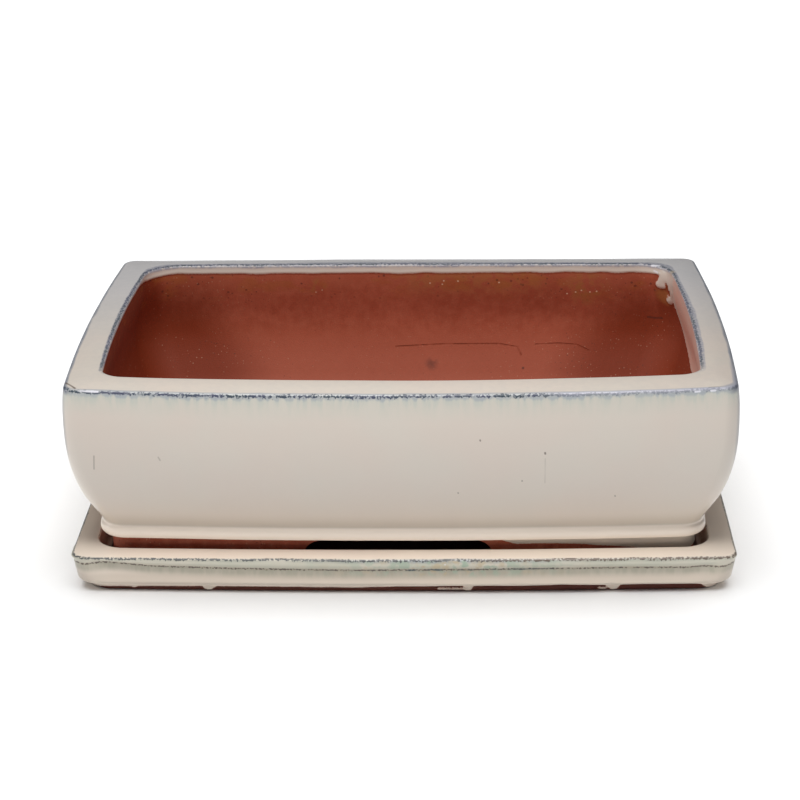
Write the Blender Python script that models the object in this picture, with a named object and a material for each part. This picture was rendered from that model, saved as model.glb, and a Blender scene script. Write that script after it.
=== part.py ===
"""A rectangular glazed bonsai pot that stands on its own saucer.

Units are metres and +Z is up. The origin lies on the ground under the middle of the saucer, the long
sides run along X, and the front faces -Y. Both pieces are skinned from level to level: each level is a
rounded rectangle with bowed sides, at one height. The pot's heights are measured from under its feet.
"""

import math
from collections import namedtuple

import bmesh
import bpy

MM = 0.001

# Pot rim, over its corners
RIM_LENGTH = 300 * MM
RIM_WIDTH = 200 * MM
RIM_HEIGHT = 93.5 * MM
RIM_CORNER = 6.5 * MM
BOW_LONG_SIDE = 4.6 * MM
BOW_SHORT_SIDE = 3.3 * MM

# Lip, which leans up towards its inner edge; under it the inside swells out to the wall
LIP_WIDTH = 14.8 * MM
LIP_RISE = 1.2 * MM
LIP_DEPTH = 4.6 * MM
LIP_OUTER_ROUND = 1.6 * MM
LIP_INNER_ROUND = 1.2 * MM
LIP_UNDERCUT = 40 * MM

# Wall, fullest a little under the rim and drawn in to the waist above the foot band
WALL = 8 * MM
SWELL = 2 * MM
SWELL_DROP = 18.8 * MM
WAIST_INSET = 12 * MM
WALL_POWER = 2.4
WAIST_CORNER = 9.5 * MM

# Cavity and drainage
FLOOR = 9.5 * MM
CAVITY_CORNER = 16 * MM
FLOOR_FILLET = 9 * MM
DRAIN_DIAMETER = 22 * MM
DRAIN_SPACING = 130 * MM

# Rolled band round the foot
BAND_HEIGHT = 6.3 * MM
BAND_PROUD = 2.3 * MM

# Feet: a skirt set back under the band, parted by an arch in each side
FOOT_HEIGHT = 15.7 * MM
FOOT_INSET_X = 13.7 * MM
FOOT_INSET_Y = 15 * MM
FOOT_CORNER = 9 * MM
FOOT_INNER_CORNER = 4 * MM
FOOT_BOW_LONG_SIDE = 3.1 * MM
FOOT_BOW_SHORT_SIDE = 1.2 * MM
FOOT_WIDTH = 12 * MM
FOOT_ROUND = 1.2 * MM
UNDERSIDE_DEPTH = 14.5 * MM
ARCH_LONG_SIDE = 84 * MM
ARCH_SHORT_SIDE = 56 * MM
ARCH_HEIGHT = 13 * MM
ARCH_CORNER = 9 * MM

# Saucer: its mouth clears the pot's feet, and the lip lies outside the mouth
SAUCER_PLAY_X = 5.7 * MM
SAUCER_PLAY_Y = 2.4 * MM
SAUCER_HEIGHT = 17.9 * MM
SAUCER_LIP = 11.9 * MM
SAUCER_LIP_RISE = 0.3 * MM
SAUCER_ROUND = 1.4 * MM
SAUCER_CORNER = 6 * MM
SAUCER_MOUTH_CORNER = 12 * MM
SAUCER_DRAFT = 0.8 * MM
SAUCER_FILLET = 2.5 * MM
SAUCER_FLOOR = 7 * MM

# Saucer side: a bead at the lip, a groove, a hollow stretch, a bulge and a bare plinth
BEAD_HEIGHT = 2.9 * MM
GROOVE_DROP = 1.3 * MM
GROOVE_DEPTH = 1.1 * MM
HOLLOW_DEPTH = 0.5 * MM
BULGE_Z = 5.6 * MM
BULGE_INSET = 0.7 * MM
PLINTH_HEIGHT = 3.3 * MM
PLINTH_STEP = 0.8 * MM
PLINTH_INSET = 4.2 * MM
END_CURVE = 3.4 * MM
END_CURVE_HEIGHT = 13 * MM
PLINTH_CORNER = 10 * MM
PLINTH_WIDTH = 13 * MM
PLINTH_RECESS = 1.6 * MM
PLINTH_ROUND = 0.8 * MM

# Clearance between the pot's feet and the saucer's floor
SEAT_GAP = 0.3 * MM

# Facets
CORNER_STEPS = 5
LONG_STEPS = 8
SHORT_STEPS = 6
WALL_STEPS = 8
ARC_STEPS = 4
UNDERCUT_STEPS = 7
BAND_STEPS = 8
DRAIN_STEPS = 32
SHARP_ANGLE = math.radians(35)
CUT_PAST = 6 * MM

# Heights on the pot
WAIST_Z = FOOT_HEIGHT + BAND_HEIGHT
SWELL_Z = RIM_HEIGHT - SWELL_DROP
FLOOR_Z = UNDERSIDE_DEPTH + FLOOR
LIP_TOP_Z = RIM_HEIGHT + LIP_RISE
LIP_UNDER_Z = LIP_TOP_Z - LIP_DEPTH

CLAY, GLAZE = 0, 1

Plan = namedtuple("Plan", "half_x half_y corner bow_x bow_y")


def shrink(plan, inset_x, inset_y=None, corner=None):
    """The plan drawn in on every side, with its corners kept concentric unless a radius is given."""
    if inset_y is None:
        inset_y = inset_x
    if corner is None:
        corner = plan.corner - min(inset_x, inset_y)
    return plan._replace(half_x=plan.half_x - inset_x, half_y=plan.half_y - inset_y, corner=corner)


def blend(start, end, share):
    return start + (end - start) * share


def bowed(plan, x, y):
    """The point moved outwards with the sides: fully at a side's middle, and not at all at its ends."""
    out_x = plan.bow_x / plan.half_x * (1 - (y / plan.half_y) ** 2)
    out_y = plan.bow_y / plan.half_y * (1 - (x / plan.half_x) ** 2)
    return x * (1 + out_x), y * (1 + out_y)


def plan_points(plan):
    """Points anticlockwise round the plan: each corner's arc and then the side after it."""
    flat_x = plan.half_x - plan.corner
    flat_y = plan.half_y - plan.corner
    corners = ((flat_x, flat_y), (-flat_x, flat_y), (-flat_x, -flat_y), (flat_x, -flat_y))
    arcs = []
    for quarter, (x, y) in enumerate(corners):
        turns = [(quarter + step / CORNER_STEPS) * math.pi / 2 for step in range(CORNER_STEPS + 1)]
        arcs.append([(x + plan.corner * math.cos(t), y + plan.corner * math.sin(t)) for t in turns])
    points = []
    for quarter, arc in enumerate(arcs):
        steps = LONG_STEPS if quarter % 2 == 0 else SHORT_STEPS
        (x0, y0), (x1, y1) = arc[-1], arcs[(quarter + 1) % 4][0]
        side = [(blend(x0, x1, k / steps), blend(y0, y1, k / steps)) for k in range(1, steps)]
        points += arc + side
    return [bowed(plan, x, y) for x, y in points]


def arc_steps(radius, start, end):
    """Offsets (outwards, upwards) from an arc's centre, between two angles in degrees from outwards."""
    turns = [math.radians(blend(start, end, k / ARC_STEPS)) for k in range(ARC_STEPS + 1)]
    return [(radius * math.cos(t), radius * math.sin(t)) for t in turns]


def make_object(name, bm, materials=()):
    bm.normal_update()
    mesh = bpy.data.meshes.new(name)
    bm.to_mesh(mesh)
    bm.free()
    for material in materials:
        mesh.materials.append(material)
    mesh.shade_smooth()
    mesh.set_sharp_from_angle(angle=SHARP_ANGLE)
    piece = bpy.data.objects.new(name, mesh)
    bpy.context.scene.collection.objects.link(piece)
    return piece


def skin(name, zones, materials):
    """One closed solid through the zones' levels, in order, capped flat at the first and the last.

    A zone is a finish and its levels, and a level is a plan and a height. The faces that lead to a level
    take the finish of its zone.
    """
    bm = bmesh.new()
    last = None
    for finish, levels in zones:
        for plan, z in levels:
            ring = [bm.verts.new((x, y, z)) for x, y in plan_points(plan)]
            if last is None:
                bm.faces.new(ring[::-1]).material_index = finish
            else:
                for k in range(len(ring)):
                    after = (k + 1) % len(ring)
                    face = bm.faces.new((last[k], last[after], ring[after], ring[k]))
                    face.material_index = finish
            last = ring
    bm.faces.new(last).material_index = finish
    return make_object(name, bm, materials)


def principled(name, colour, roughness, coat=0.0):
    material = bpy.data.materials.new(name)
    material.use_nodes = True
    shader = material.node_tree.nodes["Principled BSDF"]
    shader.inputs["Base Color"].default_value = (*colour, 1)
    shader.inputs["Roughness"].default_value = roughness
    shader.inputs["Metallic"].default_value = 0.0
    shader.inputs["Coat Weight"].default_value = coat
    return material


def cut(piece, cutter):
    """Takes the cutter's shape out of the piece, and keeps the cutter as a wire guide."""
    cutter.display_type = "WIRE"
    cutter.hide_render = True
    cutter.parent = piece
    boolean = piece.modifiers.new(cutter.name, "BOOLEAN")
    boolean.operation = "DIFFERENCE"
    boolean.solver = "EXACT"
    boolean.object = cutter


RIM = Plan(RIM_LENGTH / 2, RIM_WIDTH / 2, RIM_CORNER, BOW_SHORT_SIDE, BOW_LONG_SIDE)
FEET = Plan(
    RIM_LENGTH / 2 - FOOT_INSET_X,
    RIM_WIDTH / 2 - FOOT_INSET_Y,
    FOOT_CORNER,
    FOOT_BOW_SHORT_SIDE,
    FOOT_BOW_LONG_SIDE,
)
MOUTH = shrink(FEET, -SAUCER_PLAY_X, -SAUCER_PLAY_Y, SAUCER_MOUTH_CORNER)
SAUCER_EDGE = shrink(MOUTH, -SAUCER_LIP, corner=SAUCER_CORNER)


def wall_inset(z):
    """How far the outer wall stands in from the rim: least at the fullest height, most at the waist."""
    drop = abs(SWELL_Z - z) / (SWELL_Z - WAIST_Z)
    return (WAIST_INSET + SWELL) * drop**WALL_POWER - SWELL


def wall_lean(z):
    """The outer wall's angle from upright at a height under the fullest one."""
    drop = (SWELL_Z - z) / (SWELL_Z - WAIST_Z)
    return math.atan(WALL_POWER * (WAIST_INSET + SWELL) * drop ** (WALL_POWER - 1) / (SWELL_Z - WAIST_Z))


def outer_wall(z):
    share = (RIM_HEIGHT - z) / (RIM_HEIGHT - WAIST_Z)
    return shrink(RIM, wall_inset(z), corner=blend(RIM_CORNER, WAIST_CORNER, share))


def inner_wall(z):
    return shrink(RIM, wall_inset(z) + WALL, corner=CAVITY_CORNER)


def foot_levels():
    """Round the skirt: from the underside down its inner face, under it and up its outer face."""
    inner = shrink(FEET, FOOT_WIDTH, corner=FOOT_INNER_CORNER)
    inner_arc = [
        (shrink(inner, -FOOT_ROUND - out), FOOT_ROUND + up)
        for out, up in arc_steps(FOOT_ROUND, 180, 270)
    ]
    outer_arc = [
        (shrink(FEET, FOOT_ROUND - out), FOOT_ROUND + up)
        for out, up in arc_steps(FOOT_ROUND, 270, 360)
    ]
    return [(inner, UNDERSIDE_DEPTH)] + inner_arc + outer_arc + [(FEET, FOOT_HEIGHT)]


def band_levels():
    """Half an ellipse that stands out from the waist's line, from its lower edge up to the waist."""
    levels = []
    for step in range(BAND_STEPS + 1):
        turn = math.pi * step / BAND_STEPS
        out = BAND_PROUD * math.sin(turn)
        z = WAIST_Z - BAND_HEIGHT / 2 * (1 + math.cos(turn))
        levels.append((shrink(outer_wall(WAIST_Z), -out), z))
    return levels


def wall_levels():
    top = RIM_HEIGHT - LIP_OUTER_ROUND
    heights = [blend(WAIST_Z, top, step / WALL_STEPS) for step in range(1, WALL_STEPS + 1)]
    return [(outer_wall(z), z) for z in heights]


def lip_levels():
    """Over the lip: round the outer edge, up the leaning top, round the inner edge and down its face."""
    below_edge = outer_wall(RIM_HEIGHT - LIP_OUTER_ROUND)
    outer_arc = [
        (shrink(below_edge, LIP_OUTER_ROUND - out), RIM_HEIGHT - LIP_OUTER_ROUND + up)
        for out, up in arc_steps(LIP_OUTER_ROUND, 0, 90)[1:]
    ]
    opening = shrink(RIM, LIP_WIDTH, corner=CAVITY_CORNER)
    inner_arc = [
        (shrink(opening, -LIP_INNER_ROUND - out), LIP_TOP_Z - LIP_INNER_ROUND + up)
        for out, up in arc_steps(LIP_INNER_ROUND, 90, 180)
    ]
    return outer_arc + inner_arc + [(opening, LIP_UNDER_Z)]


def cavity_levels():
    """From under the lip out to the wall in a soft double curve, down it, and round into the floor."""
    wall_top_z = LIP_UNDER_Z - LIP_UNDERCUT
    levels = []
    for step in range(1, UNDERCUT_STEPS + 1):
        share = step / UNDERCUT_STEPS
        z = blend(LIP_UNDER_Z, wall_top_z, share)
        inset = blend(LIP_WIDTH, wall_inset(z) + WALL, share * share * (3 - 2 * share))
        levels.append((shrink(RIM, inset, corner=CAVITY_CORNER), z))
    fillet_z = FLOOR_Z + FLOOR_FILLET
    heights = [blend(wall_top_z, fillet_z, step / WALL_STEPS) for step in range(1, WALL_STEPS + 1)]
    levels += [(inner_wall(z), z) for z in heights]
    lean = wall_lean(fillet_z)
    radius = FLOOR_FILLET / (1 - math.sin(lean))
    for step in range(1, ARC_STEPS + 1):
        turn = blend(lean, math.pi / 2, step / ARC_STEPS)
        inset = radius * (math.cos(lean) - math.cos(turn))
        z = FLOOR_Z + radius * (1 - math.sin(turn))
        levels.append((shrink(inner_wall(fillet_z), inset, corner=CAVITY_CORNER), z))
    return levels


def arch_cutter(name, length, along_x):
    """A bar through the skirt from side to side, with the arch's round-topped outline."""
    half = length / 2
    springing = ARCH_HEIGHT - ARCH_CORNER
    outline = [(half, -CUT_PAST)]
    for side, start, end in ((1, 0, 90), (-1, 90, 180)):
        centre = side * (half - ARCH_CORNER)
        outline += [(centre + u, springing + v) for u, v in arc_steps(ARCH_CORNER, start, end)]
    outline.append((-half, -CUT_PAST))
    reach = (FEET.half_x + FEET.bow_x if along_x else FEET.half_y + FEET.bow_y) + CUT_PAST
    bm = bmesh.new()
    ends = []
    for end in (-reach, reach):
        if along_x:
            ends.append([bm.verts.new((end, u, v)) for u, v in outline])
        else:
            ends.append([bm.verts.new((u, end, v)) for u, v in outline])
    near, far = ends
    bm.faces.new(near)
    bm.faces.new(far[::-1])
    for k in range(len(outline)):
        after = (k + 1) % len(outline)
        bm.faces.new((near[after], near[k], far[k], far[after]))
    bmesh.ops.recalc_face_normals(bm, faces=bm.faces)
    return make_object(name, bm)


def drain_cutter(name, x):
    bm = bmesh.new()
    bmesh.ops.create_cone(
        bm,
        cap_ends=True,
        segments=DRAIN_STEPS,
        radius1=DRAIN_DIAMETER / 2,
        radius2=DRAIN_DIAMETER / 2,
        depth=FLOOR + CUT_PAST,
    )
    cutter = make_object(name, bm)
    cutter.location = (x, 0, UNDERSIDE_DEPTH + FLOOR / 2)
    return cutter


def make_pot(materials):
    zones = [
        (CLAY, foot_levels()),
        (GLAZE, band_levels() + wall_levels() + lip_levels()),
        (CLAY, cavity_levels()),
    ]
    pot = skin("pot", zones, materials)
    cut(pot, arch_cutter("arch_front_to_back", ARCH_LONG_SIDE, along_x=False))
    cut(pot, arch_cutter("arch_side_to_side", ARCH_SHORT_SIDE, along_x=True))
    for name, side in (("drain_left", -1), ("drain_right", 1)):
        cut(pot, drain_cutter(name, side * DRAIN_SPACING / 2))
    pot.location = (0, 0, SAUCER_FLOOR + SEAT_GAP)
    return pot


def saucer_side(inset, z):
    """The saucer's outer side at a height: its ends round in towards the ground more than its front."""
    low = max(0, 1 - z / END_CURVE_HEIGHT)
    corner = blend(SAUCER_CORNER, PLINTH_CORNER, low)
    return shrink(SAUCER_EDGE, inset + END_CURVE * low**2, inset, corner), z


def saucer_under_levels():
    """From the recess under the saucer, under the plinth's ring and up its outer face."""
    foot = saucer_side(PLINTH_INSET, 0)[0]
    inner = shrink(foot, PLINTH_WIDTH, corner=PLINTH_CORNER)
    bottom = [(inner, PLINTH_RECESS), (inner, 0)]
    edge = [(shrink(foot, PLINTH_ROUND), 0), (foot, PLINTH_ROUND)]
    return bottom + edge + [(foot, PLINTH_HEIGHT)]


def saucer_side_levels():
    """Up the glazed side: under the bulge, through the hollow and the groove to the bead."""
    levels = []
    under = PLINTH_INSET - PLINTH_STEP
    for out, up in arc_steps(1, 270, 360):
        inset = blend(under, BULGE_INSET, out)
        levels.append(saucer_side(inset, blend(BULGE_Z, PLINTH_HEIGHT, -up)))
    bead_z = SAUCER_HEIGHT - BEAD_HEIGHT
    groove_z = bead_z - GROOVE_DROP
    for step in range(1, ARC_STEPS + 1):
        share = step / ARC_STEPS
        inset = blend(BULGE_INSET, GROOVE_DEPTH, share) + HOLLOW_DEPTH * math.sin(math.pi * share)
        levels.append(saucer_side(inset, blend(BULGE_Z, groove_z, share)))
    levels.append(saucer_side(0, bead_z))
    return levels


def saucer_lip_levels():
    outer_arc = [
        saucer_side(SAUCER_ROUND - out, SAUCER_HEIGHT - SAUCER_ROUND + up)
        for out, up in arc_steps(SAUCER_ROUND, 0, 90)
    ]
    top = SAUCER_HEIGHT + SAUCER_LIP_RISE
    inner_arc = [
        (shrink(MOUTH, -SAUCER_ROUND - out), top - SAUCER_ROUND + up)
        for out, up in arc_steps(SAUCER_ROUND, 90, 180)
    ]
    return outer_arc + inner_arc


def basin_levels():
    """Down the drafted inner face and round the fillet into the saucer's floor."""
    wall_foot = shrink(MOUTH, SAUCER_DRAFT)
    return [
        (shrink(wall_foot, SAUCER_FILLET + out), SAUCER_FLOOR + SAUCER_FILLET + up)
        for out, up in arc_steps(SAUCER_FILLET, 180, 270)
    ]


def make_saucer(materials):
    zones = [
        (CLAY, saucer_under_levels()),
        (GLAZE, saucer_side_levels() + saucer_lip_levels() + basin_levels()),
    ]
    return skin("saucer", zones, materials)


def main():
    for old in list(bpy.data.objects):
        bpy.data.objects.remove(old, do_unlink=True)
    materials = (
        principled("bare_terracotta", (0.36, 0.12, 0.065), roughness=0.85),
        principled("cream_glaze", (0.66, 0.61, 0.54), roughness=0.22, coat=0.3),
    )
    make_saucer(materials)
    make_pot(materials)


main()
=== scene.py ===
"""Looks of a cream-glazed bonsai pot on its saucer: fine meshes, glaze and bare clay, camera and light.

Lengths are in millimetres until a mesh is made, camera and lights are in metres, and +Z is up. Both pieces
are skinned from rings with the same stations, so that one station's points make a line over the profile.
Distances along that line say where the glaze breaks on an edge and where it ends.
"""

import math
from collections import namedtuple
from functools import reduce

import bpy
import numpy as np
from mathutils import Matrix, Vector, noise
from mathutils.geometry import delaunay_2d_cdt
from numpy.linalg import norm


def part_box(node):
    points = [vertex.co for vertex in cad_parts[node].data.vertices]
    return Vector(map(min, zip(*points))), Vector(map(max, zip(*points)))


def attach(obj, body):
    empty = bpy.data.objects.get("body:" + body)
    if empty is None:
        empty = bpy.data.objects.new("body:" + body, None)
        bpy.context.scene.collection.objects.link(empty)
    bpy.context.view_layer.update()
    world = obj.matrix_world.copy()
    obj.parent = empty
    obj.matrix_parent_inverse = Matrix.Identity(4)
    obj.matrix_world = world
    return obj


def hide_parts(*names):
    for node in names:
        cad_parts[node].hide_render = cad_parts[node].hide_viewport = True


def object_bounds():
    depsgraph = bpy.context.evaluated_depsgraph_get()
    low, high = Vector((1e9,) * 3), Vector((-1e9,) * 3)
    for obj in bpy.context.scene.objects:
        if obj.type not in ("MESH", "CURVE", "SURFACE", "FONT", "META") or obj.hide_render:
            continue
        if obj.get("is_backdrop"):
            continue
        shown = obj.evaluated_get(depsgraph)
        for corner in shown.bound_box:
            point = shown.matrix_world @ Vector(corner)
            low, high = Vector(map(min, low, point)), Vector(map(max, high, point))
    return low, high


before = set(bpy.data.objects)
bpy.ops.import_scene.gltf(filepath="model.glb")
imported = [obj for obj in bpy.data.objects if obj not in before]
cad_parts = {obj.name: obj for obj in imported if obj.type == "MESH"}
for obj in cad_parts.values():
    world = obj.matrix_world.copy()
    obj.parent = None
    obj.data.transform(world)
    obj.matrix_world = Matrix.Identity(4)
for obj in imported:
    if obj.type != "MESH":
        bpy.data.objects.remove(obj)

CAD_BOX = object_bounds()
MM = 0.001
FAR = 500.0
TINY = 1e-6

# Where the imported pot's box lies
POT_LOW, POT_HIGH = (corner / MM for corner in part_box("pot"))

# Pot rim and lip
RIM_CORNER = 6.5
BOW_LONG_SIDE = 4.6
BOW_SHORT_SIDE = 3.3
LIP_WIDTH = 14.8
LIP_RISE = 1.2
LIP_DEPTH = 4.6
LIP_OUTER_ROUND = 1.9
LIP_INNER_ROUND = 1.5
LIP_UNDERCUT = 40
LIP_CROWN = 0.35
RIM_SAG = 1.4

# Wall
WALL = 8
SWELL = 2
SWELL_DROP = 18.8
WAIST_INSET = 12
WALL_POWER = 2.4
WAIST_CORNER = 9.5

# Cavity and drainage
FLOOR = 9.5
CAVITY_CORNER = 16
FRONT_CORNER = 9
OPENING_BACK = 1.0
OPENING_FADE = 30
FLOOR_FILLET = 9
DRAIN_RADIUS = 11
DRAIN_ROUND = 1.2
DRAIN_X = 65

# Foot band, and the skirt under it with its arches
BAND_HEIGHT = 6.3
BAND_PROUD = 2.3
FOOT_HEIGHT = 15.7
FOOT_INSET_X = 13.7
FOOT_INSET_Y = 15
FOOT_CORNER = 9
FOOT_INNER_CORNER = 4
FOOT_BOW_LONG_SIDE = 3.1
FOOT_BOW_SHORT_SIDE = 1.2
FOOT_WIDTH = 12
FOOT_ROUND = 1.2
HEEL_ROUND = 2
UNDERSIDE_DEPTH = 14.5
ARCH_LONG_SIDE = 84
ARCH_SHORT_SIDE = 56
ARCH_HEIGHT = 13
ARCH_CORNER = 9
ARCH_SKEW = 3.6
ARCH_SKEW_REACH = 16

# Saucer
SAUCER_PLAY_X = 5.7
SAUCER_PLAY_Y = 2.4
SAUCER_HEIGHT = 17.9
SAUCER_LIP = 11.9
SAUCER_LIP_RISE = 0.3
SAUCER_ROUND = 1.4
SAUCER_CORNER = 6
SAUCER_MOUTH_CORNER = 12
SAUCER_DRAFT = 0.8
SAUCER_FILLET = 2.5
SAUCER_FLOOR = 7
BEAD_HEIGHT = 2.9
GROOVE_DROP = 1.3
GROOVE_DEPTH = 1.1
HOLLOW_DEPTH = 0.5
BULGE_Z = 5.6
BULGE_INSET = 0.7
PLINTH_HEIGHT = 3.3
PLINTH_STEP = 0.8
PLINTH_INSET = 4.2
END_CURVE = 3.4
END_CURVE_HEIGHT = 13
PLINTH_CORNER = 10
PLINTH_WIDTH = 13
PLINTH_RECESS = 1.6
PLINTH_ROUND = 0.8
LEFT_END_SHORT = 1.3

# Thickness of the glaze where it ends, and how wide its rounded edge is
GLAZE = 0.5
GLAZE_EDGE = 0.8

# Hand-made unevenness. By its mean and the glaze's thickness, bare clay lies behind the plans
POT_UNEVENNESS = 0.25
SAUCER_UNEVENNESS = 0.15
BARE_DROP = GLAZE + 0.22

# How far the glaze comes down inside the lip, on each side, and under the foot band in front
REACH_FRONT = 4
REACH_BACK = 4.9
REACH_LEFT = 2.5
REACH_RIGHT_PLACES = (38, 59, 72, 77, 82)
REACH_RIGHT = (44.5, 39, 28, 11, 6)
REACH_LEFT_FOOT = 1.5
REACH_RIGHT_FOOT = 11.2

# Glaze that ran down in the pot's back right corner: start, end and radius, from the pot's own ground
POT_RUNS = (
    ((132.7, 82.0, 84.7), (133.6, 79.5, 90.0), 2.7),
    ((131.7, 82.9, 83.8), (133.7, 81.1, 84.4), 2.4),
    ((135.8, 81.2, 79.3), (136.8, 79.6, 79.0), 1.3),
    ((136.8, 80.9, 75.2), (138.6, 78.2, 77.4), 2.3),
    ((138.1, 77.5, 77.5), (137.4, 71.0, 83.2), 1.2),
)

# Front of the saucer: heights of the groove and of the glaze's lower edge at places along it
GROOVE_PLACES = (-150, -144, -131, -116, -79, -21, 34, 99, 131, 145, 151)
GROOVE_HEIGHTS = (16.6, 16.1, 15.2, 13.7, 12.8, 12.1, 12.5, 13.0, 12.7, 14.0, 15.5)
GLAZE_PLACES = (-144, -138, -131, -116, -95, -79, -52, -21, 0, 12, 18, 30, 42, 52, 74, 90, 110, 136, 141)
GLAZE_HEIGHTS = (0, 1.5, 1.6, 1.9, 2.2, 2.3, 2.2, 2.0, 2.6, 2.8, 3.4, 3.5, 3.5, 3.1, 4.1, 3.5, 3.9, 3.6, 0)

# Drips over the saucer's plinth: start (x, z), end (x, z) and radius
SAUCER_DRIPS = (
    ((-89.5, 5.0), (-89.3, 3.7), 3.3),
    ((-125.0, 3.4), (-124.0, 2.6), 1.5),
    ((31.5, 4.4), (30.6, 2.6), 2.3),
    ((16.5, 1.6), (28.5, 1.6), 0.6),
    ((96.0, 5.0), (97.4, 3.8), 3.4),
    ((90.5, 1.6), (93.5, 1.3), 0.6),
)

# Fine marks in the pot's glaze, then painted highlights (glints) on it: start, end, width and strength
SCRATCHES = (
    ((-137.9, -101.8, 69.0), (-138.4, -101.0, 62.3), 0.45, 0.45),
    ((-108.6, -103.4, 68.9), (-107.9, -103.2, 67.4), 0.5, 0.35),
    ((36.0, -106.0, 77.9), (36.1, -106.0, 77.5), 0.5, 0.75),
    ((65.0, -105.2, 71.4), (65.1, -105.1, 70.9), 0.6, 0.85),
    ((65.1, -105.0, 68.5), (65.2, -102.9, 55.9), 0.35, 0.2),
    ((26.1, -102.3, 51.0), (26.2, -102.3, 50.5), 0.45, 0.6),
    ((54.9, -103.4, 57.3), (54.9, -103.4, 56.9), 0.45, 0.6),
    ((97.0, -99.5, 48.4), (97.1, -99.4, 47.9), 0.45, 0.6),
    ((-150.3, -91.8, 100.2), (-145.0, -98.9, 100.2), 0.85, 0.9),
    ((137.4, -99.9, 100.2), (146.6, -98.6, 100.2), 0.45, 0.6),
)
GLINTS = (
    ((-143.2, -100.4, 99.5), (-134.5, -101.2, 99.6), 0.8, 0.8),
    ((131.2, -101.9, 99.0), (133.2, -101.8, 99.1), 0.6, 0.8),
    ((138.2, -101.5, 99.3), (140.2, -101.2, 99.3), 0.6, 0.8),
    ((127.8, 85.0, 101.0), (131.4, 83.4, 101.2), 1.0, 0.9),
    ((128.6, 83.6, 98.4), (130.4, 82.6, 97.8), 0.8, 0.85),
)

# Marks in the cavity's clay: tool lines and bright grains on the back wall (x, z), and a crack
TOOL_LINES = (
    ((-7, 52.6), (18, 53.8), (48, 54.0), (58, 52.4), (60, 48.5)),
    ((68, 53.8), (80, 54.4), (90, 53.8), (96, 51.0)),
)
CLAY_GLINTS = (
    (-49.1, 84.8), (-45.8, 86.0), (11.5, 89.7), (18.0, 89.0), (18.8, 91.0), (26.3, 90.8), (48.0, 90.0),
    (84.0, 83.5), (88.5, 84.5), (91.5, 85.5), (96.0, 84.6), (99.5, 85.0),
)
CRACK = ((127.3, 94.3, 69.6), (130.9, 93.5, 69.3), (134.4, 91.6, 69.9))

# Stations round a ring, and those of each stretch of an arch
CORNER_STEPS = 26
LONG_STEPS = 188
SHORT_STEPS = 124
END_CROWDING = 0.3
HEEL_STEPS = 3
JAMB_STEPS = 2
CROWN_STEPS = 7
LONG_FOOT_STEPS = 54
SHORT_FOOT_STEPS = 34
DRAIN_STEPS = 72

# Rings up the pot's wall and down the cavity's, and the spacing of points on the floors
WALL_STEPS = 26
CAVITY_STEPS = 48
FILL_SPACING = 4

# Heights on the pot
WAIST_Z = FOOT_HEIGHT + BAND_HEIGHT
LIP_TOP_Z = POT_HIGH.z - POT_LOW.z
RIM_HEIGHT = LIP_TOP_Z - LIP_RISE
SWELL_Z = RIM_HEIGHT - SWELL_DROP
FLOOR_Z = UNDERSIDE_DEPTH + FLOOR
LIP_UNDER_Z = LIP_TOP_Z - LIP_DEPTH

# The photograph's camera in pixels, metres and degrees (azimuth, elevation, roll), and the floor
FOCAL_PIXELS = 2174.0
IMAGE_PIXELS = 800
CAMERA_DISTANCE = 1.0755
CAMERA_TARGET = (-0.00252, 0, 0.05782)
CAMERA_ANGLES = (1.66, 20.30, -0.74)
FLOOR_HALF = 6.0

# Colours, as linear red, green and blue
CREAM = (0.63, 0.575, 0.51)
CREAM_PINK = (0.64, 0.565, 0.50)
CREAM_WARM = (0.66, 0.56, 0.465)
# Painted light: a lighter cream laid over the whole saucer
PAINTED_LIGHT_SAUCER_CREAM = (0.76, 0.66, 0.56)
# Painted light: cream lighter than the glaze, on the pot's foot band and the saucer's lowest glaze
PAINTED_LIGHT_CREAM = (0.93, 0.815, 0.70)
# Painted shade: darker cream for the crease over the foot band, the saucer's lower side and its groove
PAINTED_SHADE_CREAM = (0.46, 0.385, 0.30)
# Painted reflection: grey for the back of the lip's top
PAINTED_REFLECTION_GREY = (0.60, 0.60, 0.625)
UNDER_RIM = (0.54, 0.535, 0.47)
HALO = (0.455, 0.495, 0.455)
EDGE_BLUE = (0.33, 0.36, 0.40)
EDGE_GREY = (0.34, 0.35, 0.30)
LILAC = (0.31, 0.315, 0.37)
LILAC_PALE = (0.50, 0.50, 0.585)
SLATE = (0.11, 0.12, 0.16)
SPECK_BLUE = (0.07, 0.077, 0.125)
SPECK_TEAL = (0.045, 0.065, 0.085)
SPECK_GREY = (0.085, 0.09, 0.09)
GLINT = (0.76, 0.76, 0.82)
WARM_GLINT = (0.82, 0.62, 0.45)
# Thin glaze over red clay, lighter than either: partly painted light
THIN_GLAZE_WITH_PAINTED_LIGHT = (0.72, 0.46, 0.38)
OLIVE_GREY = (0.385, 0.365, 0.285)
GREEN_TINT = (0.37, 0.46, 0.36)
AMBER_TINT = (0.54, 0.43, 0.26)
TEAL = (0.03, 0.08, 0.11)
CLAY = (0.47, 0.118, 0.062)
# Darker clay: for the mottling and grain, and for painted shade in the cavity
CLAY_DARK_AND_SHADE = (0.36, 0.078, 0.036)
# Deep red-brown: painted shade at the cavity's ends and low on its right, and the colour of the tool lines
CLAY_SHADE_AND_TOOL_LINES = (0.21, 0.024, 0.0)
CLAY_LIGHT = (0.56, 0.18, 0.105)
CLAY_AMBER = (0.36, 0.13, 0.035)
CLAY_CRUMB = (0.62, 0.38, 0.26)
CLAY_PIT = (0.10, 0.022, 0.012)
# Near-black clay: the plinth, darkened partly as painted shade, and painted shade on the basin under the pot
NEAR_BLACK_CLAY_AND_SHADE = (0.075, 0.017, 0.010)
SCRATCH = (0.13, 0.10, 0.08)
WARM_WHITE = (1.0, 0.98, 0.955)

Plan = namedtuple("Plan", "half_x half_y corner bow_x bow_y")


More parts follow.
